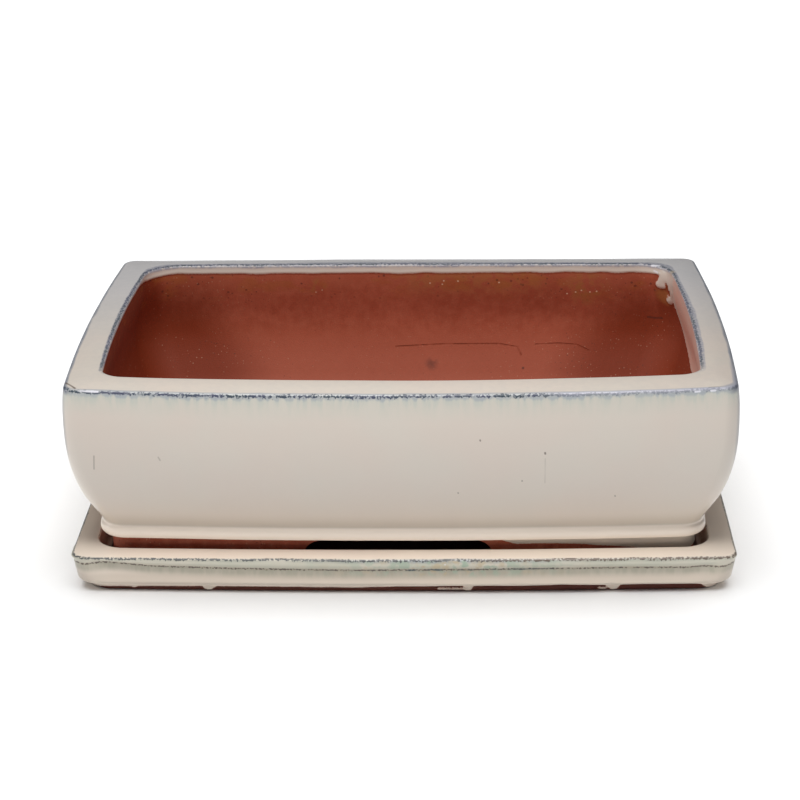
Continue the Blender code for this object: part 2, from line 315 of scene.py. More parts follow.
def lerp(start, end, share):
    return start + (end - start) * share


def smooth(value, low, high):
    """0 up to low, 1 from high on, and an easy curve between."""
    share = np.clip((value - low) / (high - low), 0, 1)
    return share * share * (3 - 2 * share)


def shrink(plan, inset_x, inset_y=None, corner=None):
    """The plan drawn in, with its corners kept concentric unless a radius is given."""
    if inset_y is None:
        inset_y = inset_x
    if corner is None:
        corner = plan.corner - min(inset_x, inset_y)
    return plan._replace(half_x=plan.half_x - inset_x, half_y=plan.half_y - inset_y, corner=corner)


RIM_HALF_X = POT_HIGH.x - BOW_SHORT_SIDE - SWELL
RIM_HALF_Y = POT_HIGH.y - BOW_LONG_SIDE - SWELL
RIM = Plan(RIM_HALF_X, RIM_HALF_Y, RIM_CORNER, BOW_SHORT_SIDE, BOW_LONG_SIDE)
FEET = shrink(RIM, FOOT_INSET_X, FOOT_INSET_Y, FOOT_CORNER)
FEET = FEET._replace(bow_x=FOOT_BOW_SHORT_SIDE, bow_y=FOOT_BOW_LONG_SIDE)
FEET_INNER = shrink(FEET, FOOT_WIDTH, corner=FOOT_INNER_CORNER)
MOUTH = shrink(FEET, -SAUCER_PLAY_X, -SAUCER_PLAY_Y, SAUCER_MOUTH_CORNER)
SAUCER_EDGE = shrink(MOUTH, -SAUCER_LIP, corner=SAUCER_CORNER)


def eased(steps):
    """The stations' shares along a side, closer together near its ends."""
    share = np.arange(1, steps) / steps
    return share - END_CROWDING / (2 * math.pi) * np.sin(2 * math.pi * share)


SIDE_SHARES = (eased(LONG_STEPS), eased(SHORT_STEPS))


def circle(turns):
    return np.stack((np.cos(turns), np.sin(turns)), 1)


def plan_ring(plan, shares=SIDE_SHARES):
    """x and y of every station, anticlockwise from +X, with the shares placing those along each side."""
    flat = np.array((plan.half_x - plan.corner, plan.half_y - plan.corner))
    signs = np.array(((1, 1), (-1, 1), (-1, -1), (1, -1)))
    points = []
    for quarter in range(4):
        turn = (quarter + np.arange(CORNER_STEPS + 1) / CORNER_STEPS) * math.pi / 2
        arc = signs[quarter] * flat + plan.corner * circle(turn)
        end = arc[-1] + (signs[(quarter + 1) % 4] - signs[quarter]) * flat
        points += [arc, lerp(arc[-1], end, shares[quarter % 2][:, None])]
    x, y = np.concatenate(points).T
    out_x = plan.bow_x / plan.half_x * (1 - (y / plan.half_y) ** 2)
    out_y = plan.bow_y / plan.half_y * (1 - (x / plan.half_x) ** 2)
    return np.stack((x * (1 + out_x), y * (1 + out_y)), 1)


def raised(xy, z):
    return np.column_stack((xy, np.full(len(xy), z, float)))


def level(plan, z):
    return raised(plan_ring(plan), z)


def open_level(plan, z):
    """A level of the opening or the cavity, with tighter corners in front."""
    tight = plan._replace(corner=plan.corner - CAVITY_CORNER + FRONT_CORNER)
    ring = level(plan, z)
    return lerp(ring, level(tight, z), smooth(-ring[:, 1], 10, 50)[:, None])


def between(first, last, steps):
    """The rings or numbers that part the stretch from first to last, without first."""
    return [lerp(first, last, k / steps) for k in range(1, steps + 1)]


def arc_steps(radius, start, end, steps):
    """Offsets (outwards, upwards) from an arc's centre between two angles in degrees."""
    turns = [math.radians(lerp(start, end, k / steps)) for k in range(steps + 1)]
    return [(radius * math.cos(t), radius * math.sin(t)) for t in turns]


def bend(plan, inset, z, radius, start, end, steps, make=level):
    """Rings round an arc, whose centre lies at an inset from the plan and at a height."""
    return [make(shrink(plan, inset - out), z + up) for out, up in arc_steps(radius, start, end, steps)]


def arch_path(flat, half_gap, foot_steps, steps):
    """Along one side's foot, arch and foot: place, height and the normal into the clay."""
    soffit_steps = steps - 2 * (foot_steps + HEEL_STEPS + JAMB_STEPS + CROWN_STEPS)
    heel_x = -half_gap - HEEL_ROUND
    crown_x = -half_gap + ARCH_CORNER
    springing = ARCH_HEIGHT - ARCH_CORNER
    rows = [(lerp(-flat, heel_x, k / foot_steps), 0, 0, 1) for k in range(foot_steps)]
    for u, v in arc_steps(1, -90, 0, HEEL_STEPS)[:-1]:
        rows.append((heel_x + HEEL_ROUND * u, HEEL_ROUND * (1 + v), -u, -v))
    for k in range(JAMB_STEPS):
        rows.append((-half_gap, lerp(HEEL_ROUND, springing, k / JAMB_STEPS), -1, 0))
    for u, v in arc_steps(1, 180, 90, CROWN_STEPS)[:-1]:
        rows.append((crown_x + ARCH_CORNER * u, springing + ARCH_CORNER * v, u, v))
    near = np.array(rows, float)
    far = near[::-1] * (-1, 1, -1, 1)
    soffit = [(x, ARCH_HEIGHT, 0, 1) for x in [crown_x] + between(crown_x, -crown_x, soffit_steps)]
    return np.concatenate((near, soffit, far))[1:-1]


def skirt_ring(plan, lift, share=0.0, top=0.0):
    """A ring over the arches, lifted off the skirt's edge, or a share of the way to a flat top."""
    places, heights = [], []
    sides = (
        (plan.half_x - plan.corner, ARCH_LONG_SIDE, LONG_FOOT_STEPS, LONG_STEPS),
        (plan.half_y - plan.corner, ARCH_SHORT_SIDE, SHORT_FOOT_STEPS, SHORT_STEPS),
    )
    for flat, gap, foot_steps, steps in sides:
        u, z, out_u, out_z = arch_path(flat, gap / 2, foot_steps, steps).T
        places.append(lerp((u + out_u * lift + flat) / (2 * flat), eased(steps), share))
        heights.append(lerp(z + out_z * lift, top, share))
    corner = np.full(CORNER_STEPS + 1, lerp(lift, top, share))
    z = np.concatenate((corner, heights[0], corner, heights[1]) * 2)
    return np.column_stack((plan_ring(plan, places), z))


def wall_inset(z):
    """How far the outer wall stands in from the rim: most at the waist."""
    drop = abs(SWELL_Z - z) / (SWELL_Z - WAIST_Z)
    return (WAIST_INSET + SWELL) * drop**WALL_POWER - SWELL


def wall_lean(z):
    """The outer wall's angle from upright at a height under the fullest one."""
    drop = (SWELL_Z - z) / (SWELL_Z - WAIST_Z)
    return math.atan(WALL_POWER * (WAIST_INSET + SWELL) * drop ** (WALL_POWER - 1) / (SWELL_Z - WAIST_Z))


def outer_wall(z):
    share = (RIM_HEIGHT - z) / (RIM_HEIGHT - WAIST_Z)
    return shrink(RIM, wall_inset(z), corner=lerp(RIM_CORNER, WAIST_CORNER, share))


def skirt_rings():
    """Down the skirt's inner face, round its lower edge and up its outer face."""
    rings = [skirt_ring(FEET_INNER, FOOT_ROUND, share, UNDERSIDE_DEPTH) for share in (1, 0.8, 0.6, 0.4, 0.2)]
    near, far = FOOT_ROUND, FOOT_WIDTH - FOOT_ROUND
    under = [(far - u, FOOT_ROUND + v) for u, v in arc_steps(FOOT_ROUND, 180, 270, 4)]
    under += [(depth, 0) for depth in between(far, near, 4)[:-1]]
    under += [(near - u, FOOT_ROUND + v) for u, v in arc_steps(FOOT_ROUND, 270, 360, 4)]
    for depth, lift in under:
        rings.append(lerp(skirt_ring(FEET, lift), skirt_ring(FEET_INNER, lift), depth / FOOT_WIDTH))
    return rings + [skirt_ring(FEET, FOOT_ROUND, share, FOOT_HEIGHT) for share in between(0, 1, 9)]


def band_rings():
    """Half an ellipse that stands out from the waist's line, up to the waist."""
    waist = outer_wall(WAIST_Z)
    rows = [(-BAND_PROUD * u, WAIST_Z - BAND_HEIGHT / 2 * (1 - v)) for u, v in arc_steps(1, -90, 90, 18)]
    return [level(shrink(waist, inset), z) for inset, z in rows]


def wall_rings():
    heights = between(WAIST_Z, RIM_HEIGHT - LIP_OUTER_ROUND, WALL_STEPS)
    return [level(outer_wall(z), z) for z in heights]


def lip_rings():
    """Round the outer edge, over the top, round the inner edge and down the inner face."""
    edge = outer_wall(RIM_HEIGHT - LIP_OUTER_ROUND)
    opening = shrink(RIM, LIP_WIDTH, corner=CAVITY_CORNER)
    outer = bend(edge, LIP_OUTER_ROUND, RIM_HEIGHT - LIP_OUTER_ROUND, LIP_OUTER_ROUND, 0, 90, 8)[1:]
    centre_z = LIP_TOP_Z - LIP_INNER_ROUND
    inner = bend(opening, -LIP_INNER_ROUND, centre_z, LIP_INNER_ROUND, 90, 180, 8, open_level)
    top = between(outer[-1], inner[0], 8)[:-1]
    for k, ring in enumerate(top):
        ring[:, 2] += LIP_CROWN * math.sin(math.pi * (k + 1) / 8)
    face = between(inner[-1], open_level(opening, LIP_UNDER_Z), 8)
    return outer, top, inner, face


def cavity_wall(z):
    """The cavity's plan at a height. It swells out gently under the lip."""
    share = smooth(LIP_UNDER_Z - z, 0, LIP_UNDERCUT)
    return shrink(RIM, lerp(LIP_WIDTH, wall_inset(z) + WALL, share), corner=CAVITY_CORNER)


def back_wall(x, z):
    """The place on the cavity's back wall at an x and a height above the ground."""
    plan = cavity_wall(z - POT_LOW.z)
    shift = OPENING_BACK * smooth(z - POT_LOW.z, FLOOR_Z, FLOOR_Z + OPENING_FADE)
    return x, plan.half_y + plan.bow_y * (1 - (x / plan.half_x) ** 2) + shift + BARE_DROP, z


def cavity_rings():
    """From under the lip down the cavity's wall and round the fillet into the floor."""
    fillet_z = FLOOR_Z + FLOOR_FILLET
    heights = [lerp(LIP_UNDER_Z, fillet_z, share**1.15) for share in between(0, 1, CAVITY_STEPS)]
    rings = [open_level(cavity_wall(z), z) for z in heights]
    lean = wall_lean(fillet_z)
    radius = FLOOR_FILLET / (1 - math.sin(lean))
    for turn in between(lean, math.pi / 2, 7):
        inset = radius * (math.cos(lean) - math.cos(turn))
        z = FLOOR_Z + radius * (1 - math.sin(turn))
        rings.append(open_level(shrink(cavity_wall(fillet_z), inset, corner=CAVITY_CORNER), z))
    return rings


def soften(rings, first, last, passes):
    """Rounds the profile's creases between two rings, as pooled glaze does."""
    for _ in range(passes):
        middle = rings[first : last + 1]
        beside = rings[first - 1 : last] + rings[first + 1 : last + 2]
        rings[first : last + 1] = 0.5 * middle + 0.25 * beside


def path_lengths(rings):
    """The distance run along the profile since the first ring, for each ring and station."""
    steps = norm(np.diff(rings, axis=0, prepend=rings[:1]), axis=2)
    return np.cumsum(steps, axis=0)


def ring_normals(rings):
    """The direction out of the clay at every station of every ring."""
    along = np.roll(rings, -1, axis=1) - np.roll(rings, 1, axis=1)
    normals = np.cross(along, np.gradient(rings, axis=0))
    return normals / norm(normals, axis=2, keepdims=True)


def wave(points, size, seed, octaves=2):
    """Smooth noise, about -1 to 1, that changes over the given size."""
    shift = Vector((seed * 17.3, seed * 5.1, -seed * 9.7))
    flat = [noise.fractal(Vector(p) / size + shift, 1.0, 2.0, octaves) for p in points.reshape(-1, 3)]
    return np.array(flat).reshape(points.shape[:-1])


def capsule(points, start, end, radius):
    """How deep points lie inside a round-ended bar. It is negative outside."""
    start, end = np.array(start, float), np.array(end, float)
    along = end - start
    share = np.clip((points - start) @ along / (along @ along), 0, 1)
    return radius - norm(points - start - share[..., None] * along, axis=-1)


def join_glaze(first, second, width):
    """The deeper of two glazed patches, with a rounded corner where they meet."""
    share = np.clip(0.5 + 0.5 * (second - first) / width, 0, 1)
    return lerp(first, second, share) + width * share * (1 - share)


def rolled_edge(inside):
    """The glaze's thickness as a share: a rounded edge with a low bead behind it."""
    share = np.clip(inside / GLAZE_EDGE, 0, 1)
    bead = 0.3 * np.exp(-((inside / GLAZE_EDGE - 1.5) ** 2)) * (inside > 0)
    return np.sqrt(1 - (1 - share) ** 2) + bead


def add_object(name, data):
    thing = bpy.data.objects.new(name, data)
    bpy.context.scene.collection.objects.link(thing)
    return thing


class Shell:
    """One piece's vertices, faces and measures, added part by part."""

    def __init__(self):
        self.points, self.edges, self.marks, self.faces = [], [], [], []
        self.count = 0

    def add(self, points, edges=(FAR, FAR, -FAR), marks=(0, FAR, 0)):
        """Adds points and gives back their numbers."""
        points = np.asarray(points, float).reshape(-1, 3)
        self.points.append(points)
        self.edges.append(np.broadcast_to(edges, points.shape))
        self.marks.append(np.broadcast_to(marks, points.shape))
        first = self.count
        self.count += len(points)
        return np.arange(first, self.count)

    def skin(self, rings, *measures):
        """Joins a profile's rings, and gives back the numbers of the first and the last."""
        numbers = [self.add(*rows) for rows in zip(rings, *measures)]
        for lower, upper in zip(numbers, numbers[1:]):
            quads = (lower, np.roll(lower, -1), np.roll(upper, -1), upper)
            self.faces += np.stack(quads, 1).tolist()
        return numbers[0], numbers[-1]

    def fill(self, ring, holes, upwards, edges=(FAR, FAR, -FAR)):
        """A flat floor inside a ring, with holes given as (numbers, centre x, radius)."""
        flat = np.concatenate(self.points)
        loops = [ring] + [numbers for numbers, _, _ in holes]
        numbers = np.concatenate(loops)
        bounds, links, start = flat[numbers, :2], [], 0
        for loop in loops:
            links += [(start + k, start + (k + 1) % len(loop)) for k in range(len(loop))]
            start += len(loop)
        inside = self.grid(flat[ring, :2], holes)
        added = self.add(raised(inside, flat[ring[0], 2]), edges)
        numbers = np.concatenate((numbers, added))
        places = [Vector(p) for p in np.concatenate((bounds, inside)).tolist()]
        found, _, faces, origin, _, _ = delaunay_2d_cdt(places, links, [], 0, 1e-5)
        for face in faces:
            middle = sum((found[k] for k in face), Vector((0, 0))) / len(face)
            if any((middle - Vector((x, 0))).length < radius for _, x, radius in holes):
                continue
            corners = [int(numbers[origin[k][0]]) for k in face]
            self.faces.append(corners if upwards else corners[::-1])

    def grid(self, ring, holes):
        """Points of an even lattice inside the ring and clear of the holes."""
        halves = np.abs(ring).max(0) - FILL_SPACING * 0.8
        lines = [np.linspace(-half, half, 2 * round(half / FILL_SPACING) + 1) for half in halves]
        points = np.stack(np.meshgrid(*lines), -1).reshape(-1, 2)
        gap = np.array([norm(ring - p, axis=1).min() for p in points])
        keep = gap > FILL_SPACING * 0.5
        bearing, outline = (np.arctan2(xy[:, 1], xy[:, 0]) for xy in (points, ring))
        limit = np.interp(bearing, outline, norm(ring, axis=1), period=2 * math.pi)
        keep &= norm(points, axis=1) < limit
        for _, x, radius in holes:
            keep &= norm(points - (x, 0), axis=1) > radius + FILL_SPACING * 0.5
        return points[keep]

    def build(self, name, lift):
        """The mesh object, with its measures as two attributes."""
        points = np.concatenate(self.points) + (0, 0, lift)
        mesh = bpy.data.meshes.new(name)
        mesh.from_pydata((points * MM).tolist(), [], self.faces)
        for label, rows in (("edges", self.edges), ("marks", self.marks)):
            attribute = mesh.attributes.new(label, "FLOAT_VECTOR", "POINT")
            attribute.data.foreach_set("vector", np.concatenate(rows).astype(np.float32).ravel())
        mesh.shade_smooth()
        mesh.update()
        return add_object(name, mesh)


def inner_reach(edge):
    """How far down inside the lip the glaze comes at each station."""
    x, y = edge[:, 0], edge[:, 1]
    reach = lerp(REACH_FRONT, REACH_BACK, smooth(y, -60, 60))
    left = smooth(-x, 128, 137) * (1 - smooth(y, 56, 82))
    reach = lerp(reach, REACH_LEFT, left)
    right = np.interp(y, REACH_RIGHT_PLACES, REACH_RIGHT)
    reach = lerp(reach, right, smooth(x, 131, 137))
    return reach + (0.15 + 0.4 * (1 - left)) * wave(edge, 13, 3)


def foot_reach(edge):
    """How far the glaze comes down from the foot band at each station."""
    x, y = edge[:, 0], edge[:, 1]
    front = lerp(REACH_LEFT_FOOT, REACH_RIGHT_FOOT, smooth(x, -20, 20)) + 0.3 * smooth(x, 70, 110)
    back = 3.0 + 1.8 * wave(edge, 40, 6)
    return lerp(front, back, smooth(y, -80, -50)) + 0.3 * wave(edge, 8, 5)


def opening_shift(count, top_at, top_steps, z):
    """How far each ring lies to the back: the whole shift round the opening, none outside."""
    share = np.interp(np.arange(count), (top_at - 1, top_at + top_steps), (0, 1))[:, None]
    fade = smooth(z, FLOOR_Z, FLOOR_Z + OPENING_FADE)
    return OPENING_BACK * share * np.where(share < 1, 1, fade)


def drain_hole(shell, x):
    """The wall of one drainage hole. Gives its top and bottom ring as holes in a floor."""
    round_hole = circle(np.arange(DRAIN_STEPS) / DRAIN_STEPS * 2 * math.pi)
    mouth, top, bottom = DRAIN_RADIUS + DRAIN_ROUND, FLOOR_Z - DRAIN_ROUND, UNDERSIDE_DEPTH + DRAIN_ROUND
    profile = [(mouth - u, top + v) for u, v in arc_steps(DRAIN_ROUND, 90, 0, 4)]
    profile += [(DRAIN_RADIUS, z) for z in between(top, bottom, 4)[:-1]]
    profile += [(mouth - u, bottom + v) for u, v in arc_steps(DRAIN_ROUND, 0, -90, 4)]
    rings = [raised(round_hole * radius + (x, 0), z) for radius, z in profile]
    return [(numbers, x, mouth) for numbers in shell.skin(rings)]


def make_pot():
    """The pot's rings with their measures, its floors and its two drainage holes."""
    skirt, band, wall = skirt_rings(), band_rings(), wall_rings()
    outer, top, inner, face = lip_rings()
    rings = np.array(skirt + band + wall + outer + top + inner + face + cavity_rings())
    band_at = len(skirt)
    waist_at = band_at + len(band)
    outer_at = waist_at + len(wall) + len(outer) // 2
    inner_at = waist_at + len(wall) + len(outer) + len(top) + len(inner) // 2
    soften(rings, waist_at - 5, waist_at + 3, 6)

    x, y, z = np.moveaxis(rings, 2, 0)
    skew = np.exp(-(((x + ARCH_LONG_SIDE / 2) / ARCH_SKEW_REACH) ** 2)) * (1 - smooth(z, 12, FOOT_HEIGHT))
    rings[..., 0] -= ARCH_SKEW * skew * smooth(-y, 60, 70)
    rings[..., 2] -= RIM_SAG * (1 - (x / RIM.half_x) ** 2) * smooth(z, 60, RIM_HEIGHT)
    rings[..., 1] += opening_shift(len(rings), waist_at + len(wall) + len(outer), len(top), z)

    run = path_lengths(rings)
    down_outside = run[outer_at] - run
    down_inside = run - run[inner_at]
    glazed = np.minimum(
        inner_reach(rings[inner_at]) - down_inside,
        foot_reach(rings[band_at]) - (run[band_at] - run),
    )
    domes = np.zeros_like(glazed)
    for start, end, radius in POT_RUNS:
        inside = capsule(rings, start, end, radius)
        glazed = join_glaze(glazed, inside, 1.2)
        domes = np.maximum(domes, 0.55 * np.sqrt(np.clip(inside / radius, 0, 1)))
    thin = smooth(rings[..., 0], 132, 136) * smooth(down_inside, 0.3, 1.2) * smooth(glazed, 0.5, 1.6)
    thin *= 1 - smooth(rings[..., 1], 60, 70)

    ends = smooth(run, 0, 6) * smooth(run[-1] - run, 0, 6)
    clay = smooth(z, 0, 4) * (1 - smooth(down_inside, 48, 64))
    depth = GLAZE * (rolled_edge(glazed) - 1) * clay + domes
    depth += POT_UNEVENNESS * (wave(rings, 70, 1) - 1) * smooth(z, 0, 3)
    rings += ring_normals(rings) * (depth * ends)[..., None]

    shell = Shell()
    edges = np.stack((down_outside, down_inside, glazed), 2)
    marks = thin[..., None] * (1, 0, 0)
    under, floor = shell.skin(rings, edges, marks)
    holes = [drain_hole(shell, x) for x in (-DRAIN_X, DRAIN_X)]
    shell.fill(floor, [top for top, _ in holes], upwards=True)
    shell.fill(under, [bottom for _, bottom in holes], upwards=False)
    return shell.build("glazed_pot", POT_LOW.z)


def saucer_side(inset, z):
    """The saucer's outer side at a height. Its ends round in towards the ground."""
    low = max(0, 1 - z / END_CURVE_HEIGHT)
    corner = lerp(SAUCER_CORNER, PLINTH_CORNER, low)
    return level(shrink(SAUCER_EDGE, inset + END_CURVE * low**2, inset, corner), z)


def saucer_profile():
    """The rings from the plinth's inner edge to the basin's floor, in six stretches."""
    foot = shrink(SAUCER_EDGE, PLINTH_INSET + END_CURVE, PLINTH_INSET, PLINTH_CORNER)
    inner = shrink(foot, PLINTH_WIDTH, corner=PLINTH_CORNER)
    plinth = [level(inner, PLINTH_RECESS * share) for share in (1, 0.5, 0)]
    plinth += between(plinth[-1], level(shrink(foot, PLINTH_ROUND), 0), 5)
    plinth += bend(foot, PLINTH_ROUND, PLINTH_ROUND, PLINTH_ROUND, 270, 360, 3)[1:]
    plinth += [level(foot, z) for z in between(PLINTH_ROUND, PLINTH_HEIGHT - 0.4, 6)]
    side = []
    under = PLINTH_INSET - PLINTH_STEP
    for out, up in arc_steps(1, 270, 360, 9):
        side.append(saucer_side(lerp(under, BULGE_INSET, out), lerp(BULGE_Z, PLINTH_HEIGHT, -up)))
    bead_z = SAUCER_HEIGHT - BEAD_HEIGHT
    groove_z = bead_z - GROOVE_DROP
    for share in between(0, 1, 10):
        inset = lerp(BULGE_INSET, GROOVE_DEPTH, share) + HOLLOW_DEPTH * math.sin(math.pi * share)
        side.append(saucer_side(inset, lerp(BULGE_Z, groove_z, share)))
    side += between(side[-1], saucer_side(0, bead_z), 4)
    lip = [
        saucer_side(SAUCER_ROUND - out, SAUCER_HEIGHT - SAUCER_ROUND + up)
        for out, up in arc_steps(SAUCER_ROUND, 0, 90, 7)
    ]
    lip = between(side[-1], lip[0], 3)[:-1] + lip
    top = SAUCER_HEIGHT + SAUCER_LIP_RISE
    mouth = bend(MOUTH, -SAUCER_ROUND, top - SAUCER_ROUND, SAUCER_ROUND, 90, 180, 7)
    flat = between(lip[-1], mouth[0], 8)[:-1]
    wall_foot = shrink(MOUTH, SAUCER_DRAFT)
    fillet = bend(wall_foot, SAUCER_FILLET, SAUCER_FLOOR + SAUCER_FILLET, SAUCER_FILLET, 0, -90, 6)
    basin = between(mouth[-1], fillet[0], 6)[:-1] + fillet
    return plinth, side, lip, flat, mouth, basin


def make_saucer():
    plinth, side, lip, flat, mouth, basin = saucer_profile()
    rings = np.array(plinth + side + lip + flat + mouth + basin)
    side_at = len(plinth)
    bulge_at = side_at + 9
    groove_at = bulge_at + 10
    lip_at = side_at + len(side)
    outer_at = lip_at + len(lip) // 2 + 2
    flat_at = lip_at + len(lip)
    inner_at = flat_at + len(flat) + len(mouth) // 2

    # The groove fades where the sides turn into the ends
    x, y, _ = np.moveaxis(rings, 2, 0)
    fade = smooth(abs(x[groove_at]), 136, 150)
    for k in range(bulge_at + 1, lip_at):
        chord = lerp(rings[bulge_at], rings[lip_at], (k - bulge_at) / (lip_at - bulge_at))
        rings[k] = lerp(rings[k], chord, fade[:, None])
    soften(rings, groove_at - 1, lip_at + 2, 2)

    # The left end of the real one was made a little short
    share = np.interp(np.arange(len(rings)), (flat_at, flat_at + len(flat) - 1), (1, 0))
    rings[..., 0] += LEFT_END_SHORT * smooth(-x, 100, 150) * share[:, None]

    # The groove wavers up and down along the sides
    front = smooth(-y[groove_at], 60, 90)
    own = SAUCER_HEIGHT - BEAD_HEIGHT - GROOVE_DROP
    wanted = np.interp(x[groove_at], GROOVE_PLACES, GROOVE_HEIGHTS)
    wanted = lerp(12.9 + 0.5 * wave(rings[groove_at], 60, 9), wanted, front)
    tent = np.interp(rings[..., 2], (BULGE_Z, own, SAUCER_HEIGHT - 0.6), (0, 1, 0))
    tent[lip_at + 3 :] = 0
    tent[:side_at] = 0
    rings[..., 2] += tent * (wanted - own)

    # The glaze's lower edge on the plinth, with its drips
    x, y, z = np.moveaxis(rings, 2, 0)
    height = np.interp(x, GLAZE_PLACES, GLAZE_HEIGHTS)
    around = 1.7 + 0.9 * wave(rings[side_at], 16, 7)
    height = lerp(around, height, smooth(-y, 60, 92)) + 0.12 * wave(rings[side_at], 5, 8)
    glazed = z - height
    for start, end, radius in SAUCER_DRIPS:
        inside = np.where(y < -60, capsule(np.stack((x, z), 2), start, end, radius), -FAR)
        glazed = join_glaze(glazed, inside, 0.5)
    glazed[bulge_at:] = FAR
    glazed[: side_at - 9] = -FAR

    run = path_lengths(rings)
    push = ring_normals(rings)
    push[:bulge_at, :, 2] = 0
    push /= np.maximum(norm(push, axis=2, keepdims=True), TINY)
    rolled = rolled_edge(glazed)
    depth = SAUCER_UNEVENNESS * (wave(rings, 60, 2) - 1) * smooth(z, 2, 5)
    depth[side_at - 9 : side_at] += PLINTH_STEP * rolled[side_at - 9 : side_at]
    depth[side_at:bulge_at] += PLINTH_STEP * (rolled[side_at:bulge_at] - 1)
    depth *= smooth(run[-1] - run, 0, 6)
    rings += push * depth[..., None]

    shell = Shell()
    edges = np.stack((run[outer_at] - run, run - run[inner_at], glazed), 2)
    flecks = np.exp(-(((x - 22) / 42) ** 2)) * smooth(-y, 80, 95)
    marks = np.stack((np.zeros_like(x), run[groove_at] - run, flecks), 2)
    under, floor = shell.skin(rings, edges, marks)
    shell.fill(floor, [], upwards=True, edges=(FAR, FAR, FAR))
    shell.fill(under, [], upwards=False)
    return shell.build("glazed_saucer", 0)


class Graph:
    """One material's nodes. Sizes are in millimetres, and each call gives back an output."""

    def __init__(self, name):
        self.material = bpy.data.materials.new(name)
        self.material.use_nodes = True
        tree = self.material.node_tree
        self.nodes, self.links = tree.nodes, tree.links
        self.shader = self.nodes["Principled BSDF"]
        local = self.node("TexCoord").outputs["Object"]
        self.place = self.vector("MULTIPLY", local, (1 / MM,) * 3)
        self.x, self.y, self.z = self.split(self.place)
        self.aside = self.math("ABSOLUTE", self.x)

    def feed(self, socket, value):
        """Links an output to the socket, or sets it to a number or a colour."""
        if isinstance(value, bpy.types.NodeSocket):
            self.links.new(value, socket)
        elif socket.type == "RGBA":
            socket.default_value = (*value, 1)
        else:
            socket.default_value = value

    def node(self, kind, *values):
        """A new node, with the values fed to its first inputs."""
        node = self.nodes.new("ShaderNode" + kind)
        for socket, value in zip(node.inputs, values):
            self.feed(socket, value)
        return node

    def split(self, vector):
        return tuple(self.node("SeparateXYZ", vector).outputs)

    def attribute(self, name):
        node = self.node("Attribute")
        node.attribute_name = name
        return self.split(node.outputs["Vector"])

    def math(self, operation, first, second=0.0, clamp=False):
        node = self.node("Math", first, second)
        node.operation = operation
        node.use_clamp = clamp
        return node.outputs[0]

    def gather(self, operation, values):
        return reduce(lambda total, value: self.math(operation, total, value), values)

    def add(self, *values):
        return self.gather("ADD", values)

    def times(self, *values):
        return self.gather("MULTIPLY", values)

    def most(self, *values):
        return self.gather("MAXIMUM", values)

    def invert(self, value):
        return self.math("SUBTRACT", 1.0, value)

    def vector(self, operation, first, second=(0, 0, 0), third=(0, 0, 0)):
        node = self.node("VectorMath", first, second, third)
        node.operation = operation
        return node.outputs["Value" if operation in ("DISTANCE", "DOT_PRODUCT") else "Vector"]

    def ramp(self, value, low, high, start=0.0, end=1.0):
        """An easy curve from start to end, as the value goes from low to high."""
        node = self.node("MapRange", value, low, high, start, end)
        node.interpolation_type = "SMOOTHSTEP"
        return node.outputs[0]

    def near(self, value, centre, width):
        """1 at the centre, falling to 0 at the width on either side."""
        return self.ramp(self.math("ABSOLUTE", self.math("SUBTRACT", value, centre)), width, 0)

    def blend(self, share, first, second):
        """The first number where the share is 0, and the second where it is 1."""
        return self.add(self.times(share, second), self.times(self.invert(share), first))

    def mix(self, share, first, second):
        """The first colour where the share is 0, and the second where it is 1."""
        node = self.node("Mix")
        node.data_type = "RGBA"
        for k, value in ((0, share), (6, first), (7, second)):
            self.feed(node.inputs[k], value)
        return node.outputs[2]

    def paint(self, colour, *marks):
        """Lays marks over a colour: each is a colour and the factors of its strength."""
        for over, *shares in marks:
            colour = self.mix(self.times(*shares), colour, over)
        return colour

    def scaled(self, size, seed, stretch=(1, 1, 1)):
        step = tuple(1 / (size * s) for s in stretch)
        return self.vector("MULTIPLY_ADD", self.place, step, (seed * 7.3, seed * 3.1, seed * 11.7))

    def cloud(self, size, seed, detail=2.0, stretch=(1, 1, 1)):
        """Noise about 0.5 that changes over the size, drawn out by the stretch."""
        node = self.node("TexNoise", self.scaled(size, seed, stretch))
        node.inputs["Scale"].default_value = 1
        node.inputs["Detail"].default_value = detail
        return node.outputs["Fac"]

    def dots(self, size, radius, share, seed):
        """Round dots on a share of the cells, and others on as many more, each of random radius."""
        node = self.node("TexVoronoi", self.scaled(size, seed))
        node.inputs["Scale"].default_value = 1
        pick, spread, _ = self.split(node.outputs["Color"])
        reach = self.ramp(spread, 0, 1, 0.3 * radius / size, radius / size)
        inside = self.math("SUBTRACT", reach, node.outputs["Distance"])
        dot = self.ramp(inside, 0, 0.25 * radius / size)
        first = self.times(dot, self.math("LESS_THAN", pick, share))
        return first, self.times(dot, self.math("GREATER_THAN", pick, 1 - share))

    def specks(self, distance, centre, width, amount, grain):
        """The dark grains that gather along an edge where the glaze runs thin."""
        density = self.near(distance, centre, width)
        level = self.add(grain, self.times(density, amount))
        return self.times(self.ramp(level, 0.74, 0.86), self.ramp(density, 0, 0.2))

    def spot(self, place, radius, soft=0.5):
        """1 near a place and 0 from the radius on."""
        return self.ramp(self.vector("DISTANCE", self.place, place), radius, radius * (1 - soft))

    def trace(self, places, width):
        """1 along a thin line through several places."""
        return self.most(*(self.stroke(start, end, width) for start, end in zip(places, places[1:])))

    def stroke(self, start, end, width):
        """1 along a thin line between two places, and 0 clear of it."""
        along = tuple(b - a for a, b in zip(start, end))
        length = sum(v * v for v in along)
        offset = self.vector("SUBTRACT", self.place, start)
        share = self.math("DIVIDE", self.vector("DOT_PRODUCT", offset, along), length, clamp=True)
        spread = self.node("CombineXYZ", share, share, share).outputs[0]
        nearest = self.vector("MULTIPLY", spread, along)
        return self.ramp(self.vector("DISTANCE", offset, nearest), width, 0.4 * width)


